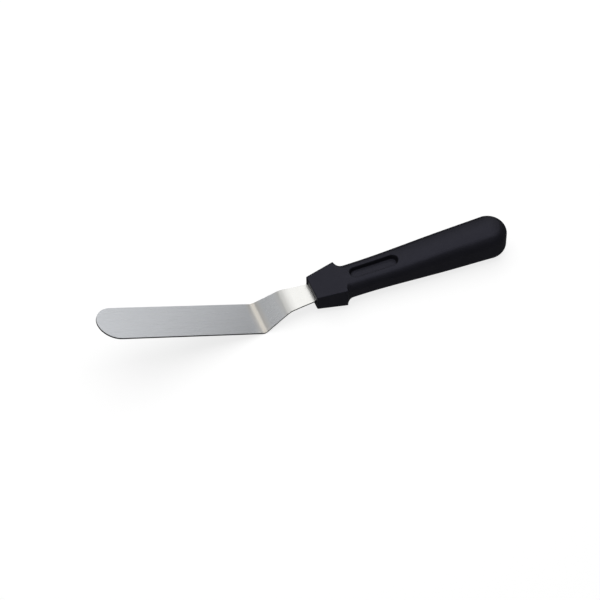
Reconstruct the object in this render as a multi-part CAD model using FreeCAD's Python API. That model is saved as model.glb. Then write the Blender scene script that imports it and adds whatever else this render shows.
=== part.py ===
"""Offset spatula: a cranked stainless blade whose tang is locked into a two-shot moulded handle.

The object lies as it does on a table, on the heel of its blade and the butt of its handle.
+X runs from the blade's tip to the butt, +Y across the blade, +Z up. The origin is on the table,
under the middle of the whole object. All lengths are in millimetres and all angles in degrees.
"""
import FreeCAD, Part
import os
from math import atan2, cos, degrees, radians, sin, sqrt, tan

Vector = FreeCAD.Vector

# Blade: one strip of sheet, bent twice.
SHEET = 0.9
BLADE_WIDTH = 21.4
BLADE_LENGTH = 93.6          # tip to the heel bend
RISER_LENGTH = 17.35         # heel bend to the upper bend
RISER_ANGLE = 49.0           # riser to blade
NECK_LENGTH = 15.0           # upper bend to the mouth of the collar
NECK_ANGLE = 22.9            # neck, tang and handle to blade
HEEL_RADIUS = 4.0            # bend radii, on the middle of the sheet
UPPER_RADIUS = 8.0
RISER_END_WIDTH = 16.1
MOUTH_WIDTH = 12.6

# Tang: the hidden end of the blade, measured from the mouth of the collar.
TANG_WIDTH = 8.6
TANG_START = 6.0
TANG_SHOULDER = 12.1         # width of the strip where it steps in to the tang
TANG_LENGTH = 70.0
TANG_HOLE = 4.4              # diameter
TANG_HOLE_AT = (20.0, 40.0, 60.0)

# Collar: the faceted block at the front of the handle.
COLLAR_LENGTH = 16.4
#               width  thick lift; the lift is the middle's height above the tang
COLLAR_FRONT = (16.5, 9.0, -0.1)
COLLAR_BACK = (22.4, 12.0, 0.27)
COLLAR_EDGE = 0.6            # edge radius
COLLAR_FRONT_BREAK = 0.3     # width of the broken front edge
SHOULDER_START = 76.0        # how steeply the hollow behind the collar's back corners starts

# Handle: stations from the waist, just behind the collar, to the butt, where the bar ends and a
# half turn of its last section rounds it off. The thickness is taken beside the crown, which
# stands above it in the middle of each broad face.
#         along  width  thick  edge crown lift
WAIST = (20.8, 18.2, 11.9, 4.7, 0.2, 0.05)
THROAT = (27.2, 17.7, 11.9, 4.2, 0.2, 0.05)
GRIP = (38.2, 18.2, 12.1, 4.3, 0.3, 0.05)
SWELL = (60.2, 19.3, 14.6, 4.9, 0.45, 0.05)
PALM = (82.2, 20.2, 17.1, 5.4, 0.55, 0.1)
BUTT = (102.4, 21.0, 18.7, 5.8, 0.6, 0.2)

# Thumb groove, one in each broad face.
GROOVE_START = 22.0
GROOVE_LENGTH = 27.3
GROOVE_WIDTH = 6.9
GROOVE_DEPTH = 2.3
GROOVE_DRAFT = 0.7           # how far each wall leans in from rim to floor
GROOVE_FLOOR_EDGE = 0.6
GROOVE_RIM_EDGE = 0.7
GROOVE_PITCH = 0.6           # slope of the floor, rising towards the butt

# Core: the first shot, a ribbed block moulded on the end of the tang and hidden in the grip.
CORE_START = 54.0
CORE_END = 97.0
CORE_FRONT = (11.4, 7.0)     # width, thickness
CORE_BACK = (12.6, 11.0)
CORE_EDGE = 1.6
CORE_RIB = (2.0, 0.9)        # rib's length along the core, height above it
CORE_RIB_AT = (58.0, 69.0, 80.0, 91.0)

# Flash: the small beads of plastic at the blade's edges in the mouth of the collar.
FLASH_RADIUS = 0.7
FLASH_PROUD = 0.5


def lerp(low, high, share):
    return low + (high - low) * share


# --- Section and loft helpers, in the handle's own frame: X along it, Y across, Z up ---

def section(s, width, thickness, edge, crown=0.0, lift=0.0):
    """A closed rounded rectangle across the handle at s, with crowned top and bottom."""
    half_width = width / 2
    corner_y = half_width - edge
    corner_z = thickness / 2 - edge
    slant = 2 * atan2(crown, corner_y)
    slant_y = edge * sin(slant)
    slant_z = edge * cos(slant)
    diagonal = edge / sqrt(2)

    def point(y, z):
        return Vector(s, y, z + lift)

    edges = []
    for side in (1, -1):
        top_start = point(-side * (corner_y + slant_y), side * (corner_z + slant_z))
        top_middle = point(0, side * (thickness / 2 + crown))
        top_end = point(side * (corner_y + slant_y), side * (corner_z + slant_z))
        corner_1 = point(side * (corner_y + diagonal), side * (corner_z + diagonal))
        flank_top = point(side * half_width, side * corner_z)
        flank_bottom = point(side * half_width, -side * corner_z)
        corner_2 = point(side * (corner_y + diagonal), -side * (corner_z + diagonal))
        next_start = point(side * (corner_y + slant_y), -side * (corner_z + slant_z))
        if crown > 0:
            edges.append(Part.Arc(top_start, top_middle, top_end).toShape())
        else:
            edges.append(Part.makeLine(top_start, top_end))
        edges.append(Part.Arc(top_end, corner_1, flank_top).toShape())
        edges.append(Part.makeLine(flank_top, flank_bottom))
        edges.append(Part.Arc(flank_bottom, corner_2, next_start).toShape())
    return Part.Wire(edges)


def path_edges(points, radii):
    """Straight runs through the points, with an arc of the given radius at each inner point."""
    edges = []
    start = points[0]
    for before, corner, after, radius in zip(points, points[1:], points[2:], radii):
        arriving = (corner - before).normalize()
        leaving = (after - corner).normalize()
        turn = arriving.getAngle(leaving)
        setback = radius * tan(turn / 2)
        arc_start = corner - arriving * setback
        arc_end = corner + leaving * setback
        inward = (leaving - arriving).normalize()
        arc_middle = corner + inward * radius * (1 / cos(turn / 2) - 1)
        edges.append(Part.makeLine(start, arc_start))
        edges.append(Part.Arc(arc_start, arc_middle, arc_end).toShape())
        start = arc_end
    edges.append(Part.makeLine(start, points[-1]))
    return edges


# --- Blade, in its own frame: the heel bend at the origin, X towards the handle, Z up ---

def direction(angle):
    return Vector(cos(radians(angle)), 0, sin(radians(angle)))


UPPER_BEND = direction(RISER_ANGLE) * RISER_LENGTH
MOUTH = UPPER_BEND + direction(NECK_ANGLE) * NECK_LENGTH


def bent_strip():
    """The sheet's side view at more than full width: blade, riser, neck and tang in one strip."""
    tip = Vector(-BLADE_LENGTH, 0, 0)
    tang_end = MOUTH + direction(NECK_ANGLE) * TANG_LENGTH
    sides = []
    for side in (1, -1):
        half = side * SHEET / 2
        up_1 = direction(90 + RISER_ANGLE / 2) * (half / cos(radians(RISER_ANGLE / 2)))
        turn = RISER_ANGLE - NECK_ANGLE
        up_2 = direction(90 + (RISER_ANGLE + NECK_ANGLE) / 2) * (half / cos(radians(turn / 2)))
        up_end = direction(90 + NECK_ANGLE) * half
        points = [tip + Vector(0, 0, half), up_1, UPPER_BEND + up_2, tang_end + up_end]
        sides.append(path_edges(points, [HEEL_RADIUS - half, UPPER_RADIUS + half]))
    top, bottom = sides
    ends = [
        Part.makeLine(tip + Vector(0, 0, SHEET / 2), tip - Vector(0, 0, SHEET / 2)),
        Part.makeLine(top[-1].Vertexes[-1].Point, bottom[-1].Vertexes[-1].Point),
    ]
    outline = Part.Wire(Part.__sortEdges__(top + bottom + ends))
    blank_width = 1.1 * BLADE_WIDTH
    strip = Part.Face(outline).extrude(Vector(0, blank_width, 0))
    strip.translate(Vector(0, -blank_width / 2, 0))
    return strip


def plan_outline():
    """The blade seen from above: round tip, straight edges, flared neck, narrow tang."""
    half = BLADE_WIDTH / 2
    run = cos(radians(NECK_ANGLE))
    tang_start = MOUTH.x + TANG_START * run
    tang_end = MOUTH.x + TANG_LENGTH * run
    tip = Vector(-BLADE_LENGTH, 0, 0)
    tip_corner = Vector(half - BLADE_LENGTH, half, 0)
    heel = Vector(0, half, 0)
    mouth = Vector(MOUTH.x, MOUTH_WIDTH / 2, 0)
    shoulder = Vector(tang_start, TANG_SHOULDER / 2, 0)
    tang = Vector(tang_start, TANG_WIDTH / 2, 0)
    tang_corner = Vector(tang_end - TANG_WIDTH / 2, TANG_WIDTH / 2, 0)

    flare = Part.BSplineCurve()
    first_slope = (RISER_END_WIDTH - BLADE_WIDTH) / 2 / UPPER_BEND.x
    last_slope = -0.09
    flare.interpolate(
        Points=[heel, Vector(UPPER_BEND.x, RISER_END_WIDTH / 2, 0), mouth],
        InitialTangent=Vector(1, first_slope, 0) * UPPER_BEND.x,
        FinalTangent=Vector(1, last_slope, 0) * (MOUTH.x - UPPER_BEND.x),
    )
    far_side = [
        Part.makeLine(tip_corner, heel),
        flare.toShape(),
        Part.makeLine(mouth, shoulder),
        Part.makeLine(shoulder, tang),
        Part.makeLine(tang, tang_corner),
    ]
    near_side = [edge.mirror(Vector(0, 0, 0), Vector(0, 1, 0)) for edge in far_side]

    def mirrored(point):
        return Vector(point.x, -point.y, point.z)

    tip_arc = Part.Arc(tip_corner, tip, mirrored(tip_corner)).toShape()
    tang_tip = Vector(tang_end, 0, 0)
    tang_arc = Part.Arc(tang_corner, tang_tip, mirrored(tang_corner)).toShape()
    return Part.Wire(Part.__sortEdges__(far_side + near_side + [tip_arc, tang_arc]))


def make_blade():
    height = 4 * RISER_LENGTH
    blank = Part.Face(plan_outline()).extrude(Vector(0, 0, height))
    blank.translate(Vector(0, 0, -height / 4))
    blade = bent_strip().common(blank)
    for s in TANG_HOLE_AT:
        blade = blade.cut(in_blade_frame(tang_post(s)))
    return blade.removeSplitter()


# --- Handle, in its own frame, placed at the mouth of the collar ---

def in_blade_frame(shape):
    placed = shape.copy()
    placed.rotate(Vector(0, 0, 0), Vector(0, 1, 0), -NECK_ANGLE)
    placed.translate(MOUTH)
    return placed


def tang_post(s):
    return Part.makeCylinder(TANG_HOLE / 2, 2 * SHEET, Vector(s, 0, -SHEET))


def make_collar():
    """Flat facets that widen from the mouth to the shoulders, with the front edge broken."""
    def facet(s, inset=0.0):
        share = s / COLLAR_LENGTH
        width, thickness, lift = [lerp(*pair, share) for pair in zip(COLLAR_FRONT, COLLAR_BACK)]
        return section(s, width - inset, thickness - inset, COLLAR_EDGE, 0.0, lift)

    back_of_break = facet(COLLAR_FRONT_BREAK)
    break_edge = Part.makeLoft([facet(0, 2 * COLLAR_FRONT_BREAK), back_of_break], True, True)
    block = Part.makeLoft([back_of_break, facet(COLLAR_LENGTH)], True, True)
    return break_edge.fuse(block)


def make_shoulder():
    """The hollow sweep from the collar's back corners down to the waist."""
    waist, width, thickness, edge, crown, lift = WAIST
    reach = waist - COLLAR_LENGTH
    back_width, back_thickness, back_lift = COLLAR_BACK
    steepest = radians(SHOULDER_START)
    stations = 9
    wires = []
    for i in range(stations):
        share = i / (stations - 1)
        angle = steepest * (1 - share)
        done = 1 - (1 - cos(angle)) / (1 - cos(steepest))
        wires.append(section(
            waist - reach * sin(angle) / sin(steepest),
            lerp(back_width, width, done),
            lerp(back_thickness, thickness, share),
            lerp(COLLAR_EDGE, edge, done),
            crown * done,
            lerp(back_lift, lift, share),
        ))
    return Part.makeLoft(wires, True, False)


def make_bar():
    wires = [section(*station) for station in (WAIST, THROAT, GRIP, SWELL, PALM, BUTT)]
    return Part.makeLoft(wires, True, False)


def make_butt():
    """The last section turned about the handle's upright axis, which rounds the end."""
    pivot, width, thickness = BUTT[:3]
    slab = 1.0
    corner = Vector(pivot - slab / 2, 0, -thickness)
    half = Part.Face(section(*BUTT)).common(Part.makeBox(slab, width, 2 * thickness, corner))
    return half.revolve(Vector(pivot, 0, 0), Vector(0, 0, -1), 180)


def stadium(z, inset):
    """A closed groove outline at height z: two straight sides and two round ends."""
    radius = GROOVE_WIDTH / 2 - inset
    first = GROOVE_START + GROOVE_WIDTH / 2
    last = GROOVE_START + GROOVE_LENGTH - GROOVE_WIDTH / 2
    near_1 = Vector(first, -radius, z)
    near_2 = Vector(last, -radius, z)
    far_1 = Vector(first, radius, z)
    far_2 = Vector(last, radius, z)
    return Part.Wire([
        Part.makeLine(near_1, near_2),
        Part.Arc(near_2, Vector(last + radius, 0, z), far_2).toShape(),
        Part.makeLine(far_2, far_1),
        Part.Arc(far_1, Vector(first - radius, 0, z), near_1).toShape(),
    ])


def make_groove(side):
    """The solid that cuts one thumb groove into the broad face above or below."""
    above = 3.0
    near_floor = GROOVE_DEPTH / 100
    outward = -GROOVE_DRAFT * above / GROOVE_DEPTH
    cutter = Part.makeLoft([stadium(-GROOVE_DEPTH, GROOVE_DRAFT), stadium(above, outward)], True, True)
    floor = [edge for edge in cutter.Edges if edge.CenterOfMass.z + GROOVE_DEPTH < near_floor]
    cutter = cutter.makeFillet(GROOVE_FLOOR_EDGE, floor)
    pivot = Vector(GROOVE_START, 0, 0)
    cutter.rotate(pivot, Vector(0, 1, 0), -GROOVE_PITCH)
    cutter.translate(Vector(0, 0, WAIST[2] / 2))
    if side < 0:
        cutter = cutter.mirror(Vector(0, 0, 0), Vector(0, 0, 1))
    return cutter


def make_core():
    """The first shot: a ribbed block round the end of the tang, which fills its last hole."""
    def ring(s, extra=0.0):
        share = (s - CORE_START) / (CORE_END - CORE_START)
        width = lerp(CORE_FRONT[0], CORE_BACK[0], share) + 2 * extra
        thickness = lerp(CORE_FRONT[1], CORE_BACK[1], share) + 2 * extra
        return section(s, width, thickness, CORE_EDGE)

    core = Part.makeLoft([ring(CORE_START), ring(CORE_END)], True, True)
    length, height = CORE_RIB
    for s in CORE_RIB_AT:
        rib = Part.makeLoft([ring(s - length / 2, height), ring(s + length / 2, height)], True, True)
        core = core.fuse(rib)
    return core.removeSplitter()


def make_flash():
    """Two beads of squeezed plastic, one at each edge of the blade in the collar's mouth."""
    beads = []
    for side in (1, -1):
        middle = Vector(-FLASH_PROUD, side * MOUTH_WIDTH / 2, 0)
        bead = Part.makeCylinder(FLASH_RADIUS, 2 * FLASH_PROUD, middle, Vector(1, 0, 0))
        beads.append(bead)
    return beads


def groove_rims(shape):
    """The edges where the thumb grooves' walls meet the broad faces."""
    half_width = GROOVE_WIDTH / 2 + GROOVE_DRAFT
    first = GROOVE_START - GROOVE_DRAFT
    last = GROOVE_START + GROOVE_LENGTH + GROOVE_DRAFT
    rims = []
    for edge in shape.Edges:
        box = edge.BoundBox
        across = max(box.YMax, -box.YMin)
        outside = min(abs(box.ZMin), abs(box.ZMax)) > WAIST[2] / 2 - GROOVE_RIM_EDGE
        if box.XMin > first and box.XMax < last and across < half_width and outside:
            rims.append(edge)
    return rims


def make_grip_envelope():
    envelope = make_collar()
    for piece in [make_shoulder(), make_bar(), make_butt()] + make_flash():
        envelope = envelope.fuse(piece)
    for side in (1, -1):
        envelope = envelope.cut(make_groove(side))
    envelope = envelope.removeSplitter()
    return envelope.makeFillet(GROOVE_RIM_EDGE, groove_rims(envelope))


# --- The whole object, laid on its table ---

def lowest(shape):
    return shape.optimalBoundingBox(False).ZMin


def resting_tilt(blade, grip):
    """The slope that puts the blade's heel and the handle's butt on one level."""
    tilt = NECK_ANGLE
    span = MOUTH.x + BUTT[0]
    rounds = 6
    for _ in range(rounds):
        turned = []
        for shape in (blade, grip):
            copy = shape.copy()
            copy.rotate(Vector(0, 0, 0), Vector(0, 1, 0), tilt)
            turned.append(lowest(copy))
        tilt += degrees(atan2(turned[1] - turned[0], span))
    return tilt


def main():
    blade = make_blade()
    core = in_blade_frame(make_core())
    grip = in_blade_frame(make_grip_envelope())
    tilt = resting_tilt(blade, grip)

    grip = grip.cut(core.fuse(blade))
    core = core.cut(blade)
    parts = {"blade": blade, "handle_core": core, "handle_grip": grip}

    for shape in parts.values():
        shape.rotate(Vector(0, 0, 0), Vector(0, 1, 0), tilt)
    box = Part.makeCompound(list(parts.values())).optimalBoundingBox(False)
    to_table = Vector(-box.Center.x, -box.Center.y, -box.ZMin)

    os.makedirs("parts", exist_ok=True)
    print("tilt", round(tilt, 3), "box", box.XLength, box.YLength, box.ZLength)
    for name, shape in parts.items():
        shape.translate(to_table)
        print(name, len(shape.Solids), "solids", round(shape.Volume, 1), "mm3", shape.isValid())
        shape.exportStep("parts/" + name + ".step")


main()
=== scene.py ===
"""Offset spatula on a white table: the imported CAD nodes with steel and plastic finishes.

Everything is in metres, in the row frame: +X from the blade's tip to the handle's butt, +Z up.
"""

from math import radians

import bpy
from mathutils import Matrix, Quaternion, Vector

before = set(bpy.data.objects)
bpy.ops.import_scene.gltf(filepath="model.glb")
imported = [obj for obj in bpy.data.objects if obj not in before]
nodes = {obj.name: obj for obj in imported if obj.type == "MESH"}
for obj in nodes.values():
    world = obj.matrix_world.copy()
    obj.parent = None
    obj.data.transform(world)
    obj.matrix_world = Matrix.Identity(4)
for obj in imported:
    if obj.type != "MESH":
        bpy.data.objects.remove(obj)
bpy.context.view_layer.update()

# Camera
LENS = 120.85                       # in millimetres, like SENSOR_WIDTH
SENSOR_WIDTH = 36
CAMERA_AT = Vector((-0.24689, -0.64413, 0.82800))
CAMERA_AIM = Vector((-0.00295, 0.00410, 0.0))
CAMERA_ROLL = radians(-0.89)

# Steel
STEEL_COLOUR = (0.62, 0.634, 0.652)
STEEL_ROUGHNESS = (0.27, 0.29)
STEEL_LINE = (0.030, 0.00015, 0.030)    # a rolling line's length, and the pitch across the lines
STEEL_LINE_TONE = 0.985                 # the colour in a line, as a share of the steel's
STEEL_LINE_DEPTH = 0.000001
STEEL_LINE_STRENGTH = 0.12
STEEL_ANISOTROPY = 0.4
HEEL_BEND = (-0.0282, 0.0045)       # where along X, and how far its band of rougher steel reaches; at the heel the band also gets a painted highlight tint
UPPER_BEND = (-0.0128, 0.0045)
# painted highlight: a warmer, darker steel colour at the heel bend that stands in for the dim warm
# highlight there
HEEL_PAINTED_HIGHLIGHT = (0.56, 0.53, 0.48)
BEND_ROUGHNESS = 0.22               # added to the steel's own
# painted reflection: a warmer, slightly darker steel colour on the neck, for the warm tint of the
# highlight there
NECK_PAINTED_REFLECTION = (0.600, 0.598, 0.580)
NECK_START = (-0.0175, -0.0142)     # where along X the riser's tone turns to the neck's painted reflection tint
EDGE_PAINTED_SHADE = (0.28, 0.28, 0.29)    # painted shade on the sheared edges of the sheet
EDGE_UPRIGHT = (0.3, 0.7)           # how upright the normal is on an edge, and on a face

# Plastic
PLASTIC_COLOUR = (0.009, 0.009, 0.012)
CORE_COLOUR = (0.03, 0.03, 0.03)
PLASTIC_MOTTLE = (0.9, 1.1)         # the darkest and the palest patches, as shares of the colour
PLASTIC_PATCH = 0.006
PLASTIC_SPECULAR = 0.27
PLASTIC_TINT = (0.74, 0.74, 1.0, 1.0)
PLASTIC_ROUGHNESS = (0.44, 0.52)
PLASTIC_IOR = 1.49
PLASTIC_GRAIN = 0.00035
PLASTIC_GRAIN_DEPTH = 0.00002
PLASTIC_GRAIN_STRENGTH = 0.5

# Floor and room
FLOOR_HALF = 3.0
FLOOR_GREY = 0.3
FLOOR_ROUGHNESS = 0.8
FLOOR_GLOW = 0.8
ROOM_LEVEL = 0.06

# Lights: where each panel stands, what it faces, its width and height, and its power in watts.
SOFTBOX = ((0.055, 0.44, 1.0), (0.055, 0.44, 0.0), (1.59, 1.53), 12.0)
BLADE_CARD = ((0.80, 1.07, 0.68), (-0.07, 0.0, 0.02), (0.53, 0.75), 1.0)
BLADE_CARD_COLOUR = (0.98, 0.985, 1.0)
LEFT_FILL = ((-1.1, -0.6, 0.35), (0.0, 0.0, 0.0), (0.7, 0.6), 1.2)
FRONT_FILL = ((0.1, -1.3, 1.1), (0.0, 0.0, 0.0), (1.8, 0.7), 1.1)


class Nodes:
    """A material's node tree, with one call for each node and its links."""

    def __init__(self, name):
        self.material = bpy.data.materials.new(name)
        self.material.use_nodes = True
        self.tree = self.material.node_tree
        self.shader = self.tree.nodes["Principled BSDF"]

    def add(self, kind, inputs=None, **settings):
        node = self.tree.nodes.new("ShaderNode" + kind)
        for key, value in settings.items():
            setattr(node, key, value)
        self.set(node, inputs or {})
        return node

    def set(self, node, inputs):
        for key, value in inputs.items():
            if isinstance(value, bpy.types.NodeSocket):
                self.tree.links.new(value, node.inputs[key])
            else:
                node.inputs[key].default_value = value

    def grain(self, size, detail=2.0):
        """Noise whose cells are as large as size, in metres along X, Y and Z."""
        place = self.add("TexCoord").outputs["Object"]
        scale = tuple(1 / length for length in size)
        cells = self.add("Mapping", {"Vector": place, "Scale": scale}).outputs["Vector"]
        noise = self.add("TexNoise", {"Vector": cells, "Scale": 1.0, "Detail": detail})
        return noise.outputs["Fac"]

    def spread(self, value, low, high, start=0.3, end=0.7):
        """value, from start to end, as low to high."""
        inputs = {"Value": value, "From Min": start, "From Max": end, "To Min": low, "To Max": high}
        return self.add("MapRange", inputs).outputs["Result"]

    def math(self, operation, first, second=0.0):
        return self.add("Math", {0: first, 1: second}, operation=operation).outputs[0]

    def mix(self, share, first, second):
        """Two colours, each a plain one or another node's, mixed by share."""
        node = self.add("Mix", data_type="RGBA")
        self.tree.links.new(share, node.inputs["Factor"])
        for key, colour in (("A", first), ("B", second)):
            socket = next(item for item in node.inputs if item.name == key and item.type == "RGBA")
            if isinstance(colour, bpy.types.NodeSocket):
                self.tree.links.new(colour, socket)
            else:
                socket.default_value = (*colour, 1)
        return next(item for item in node.outputs if item.type == "RGBA")

    def bump(self, height, distance, strength):
        inputs = {"Height": height, "Distance": distance, "Strength": strength}
        return self.add("Bump", inputs).outputs["Normal"]


def scaled(colour, factor):
    return tuple(part * factor for part in colour)


def make_steel():
    """Satin steel with faint lengthwise lines and rougher bends, with painted light: a warmer,
    darker highlight tint at the heel bend, a warm reflection tint on the neck, and painted shade on
    the sheet's edges.
    """
    steel = Nodes("stainless_steel")
    lines = steel.grain(STEEL_LINE)
    place = steel.add("TexCoord").outputs["Object"]
    along = steel.add("SeparateXYZ", {0: place}).outputs["X"]
    upright = steel.add("SeparateXYZ", {0: steel.add("NewGeometry").outputs["Normal"]}).outputs["Z"]
    # painted shade: where the normal lies near level, on the sheet's edges, the steel is painted
    # dark
    edge_shade_mask = steel.spread(steel.math("ABSOLUTE", upright), 1, 0, *EDGE_UPRIGHT)

    def bend_band(middle, reach):
        away = steel.math("ABSOLUTE", steel.math("SUBTRACT", along, middle))
        return steel.spread(away, 1, 0, 0, reach)

    heel = bend_band(*HEEL_BEND)
    upper = bend_band(*UPPER_BEND)
    line_colour = scaled(STEEL_COLOUR, STEEL_LINE_TONE)
    tone = steel.mix(steel.spread(lines, 0, 1), line_colour, STEEL_COLOUR)
    # painted highlight: the heel bend's band takes the warmer, darker colour
    with_painted_highlight = steel.mix(heel, tone, HEEL_PAINTED_HIGHLIGHT)
    # painted reflection: from the top of the riser on, the steel takes the neck's warmer colour
    face = steel.mix(steel.spread(along, 0, 1, *NECK_START), with_painted_highlight, NECK_PAINTED_REFLECTION)
    rough = steel.spread(lines, *STEEL_ROUGHNESS)
    extra = steel.math("MULTIPLY", steel.math("MAXIMUM", heel, upper), BEND_ROUGHNESS)
    steel.set(steel.shader, {
        "Base Color": steel.mix(edge_shade_mask, face, EDGE_PAINTED_SHADE),
        "Metallic": 1.0,
        "Roughness": steel.math("ADD", rough, extra),
        "Anisotropic": STEEL_ANISOTROPY,
        "Tangent": steel.add("CombineXYZ", {"X": 1.0}).outputs[0],
        "Normal": steel.bump(lines, STEEL_LINE_DEPTH, STEEL_LINE_STRENGTH),
    })
    return steel.material


def make_plastic(name, colour):
    """Moulded plastic with a fine grain and a faint mottle."""
    plastic = Nodes(name)
    fine = plastic.grain((PLASTIC_GRAIN,) * 3)
    broad = plastic.grain((PLASTIC_PATCH,) * 3, detail=3.0)
    dark, pale = [scaled(colour, share) for share in PLASTIC_MOTTLE]
    tone = plastic.mix(plastic.spread(broad, 0, 1), dark, pale)
    plastic.set(plastic.shader, {
        "Base Color": tone,
        "Roughness": plastic.spread(fine, *PLASTIC_ROUGHNESS),
        "Specular IOR Level": PLASTIC_SPECULAR,
        "Specular Tint": PLASTIC_TINT,
        "IOR": PLASTIC_IOR,
        "Normal": plastic.bump(fine, PLASTIC_GRAIN_DEPTH, PLASTIC_GRAIN_STRENGTH),
    })
    return plastic.material


def dress(node, material):
    data = nodes[node].data
    data.materials.clear()
    data.materials.append(material)


def add_panel(name, at, aim, size, power, colour=(1, 1, 1)):
    light = bpy.data.lights.new(name, "AREA")
    light.shape = "RECTANGLE"
    light.size, light.size_y = size
    light.energy = power
    light.color = colour
    panel = bpy.data.objects.new(name, light)
    panel.location = at
    panel.rotation_euler = (Vector(aim) - Vector(at)).to_track_quat("-Z", "Y").to_euler()
    bpy.context.scene.collection.objects.link(panel)


def make_floor():
    """A pale sheet that glows enough to stay white, and that the steel doesn't reflect."""
    half = FLOOR_HALF
    mesh = bpy.data.meshes.new("floor")
    corners = [(-half, -half, 0), (half, -half, 0), (half, half, 0), (-half, half, 0)]
    mesh.from_pydata(corners, [], [(0, 1, 2, 3)])
    floor = bpy.data.objects.new("floor", mesh)
    paint = Nodes("floor_paint")
    paint.set(paint.shader, {
        "Base Color": (FLOOR_GREY, FLOOR_GREY, FLOOR_GREY, 1),
        "Roughness": FLOOR_ROUGHNESS,
        "Emission Color": (1, 1, 1, 1),
        "Emission Strength": FLOOR_GLOW,
    })
    mesh.materials.append(paint.material)
    floor.visible_glossy = False
    bpy.context.scene.collection.objects.link(floor)


def make_world(level):
    world = bpy.data.worlds.new("studio")
    world.use_nodes = True
    background = world.node_tree.nodes["Background"]
    background.inputs["Color"].default_value = (level, level, level, 1)
    bpy.context.scene.world = world


def make_camera():
    data = bpy.data.cameras.new("camera")
    data.lens = LENS
    data.sensor_width = SENSOR_WIDTH
    camera = bpy.data.objects.new("camera", data)
    camera.location = CAMERA_AT
    look = (CAMERA_AIM - CAMERA_AT).to_track_quat("-Z", "Y")
    camera.rotation_mode = "QUATERNION"
    camera.rotation_quaternion = look @ Quaternion((0, 0, 1), CAMERA_ROLL)
    bpy.context.scene.collection.objects.link(camera)
    bpy.context.scene.camera = camera


dress("blade", make_steel())
dress("handle_grip", make_plastic("black_plastic", PLASTIC_COLOUR))
dress("handle_core", make_plastic("core_plastic", CORE_COLOUR))

make_camera()
make_floor()
make_world(ROOM_LEVEL)
add_panel("softbox", *SOFTBOX)
add_panel("blade_card", *BLADE_CARD, BLADE_CARD_COLOUR)
add_panel("left_fill", *LEFT_FILL)
add_panel("front_fill", *FRONT_FILL)
bpy.context.scene.view_settings.view_transform = "Standard"
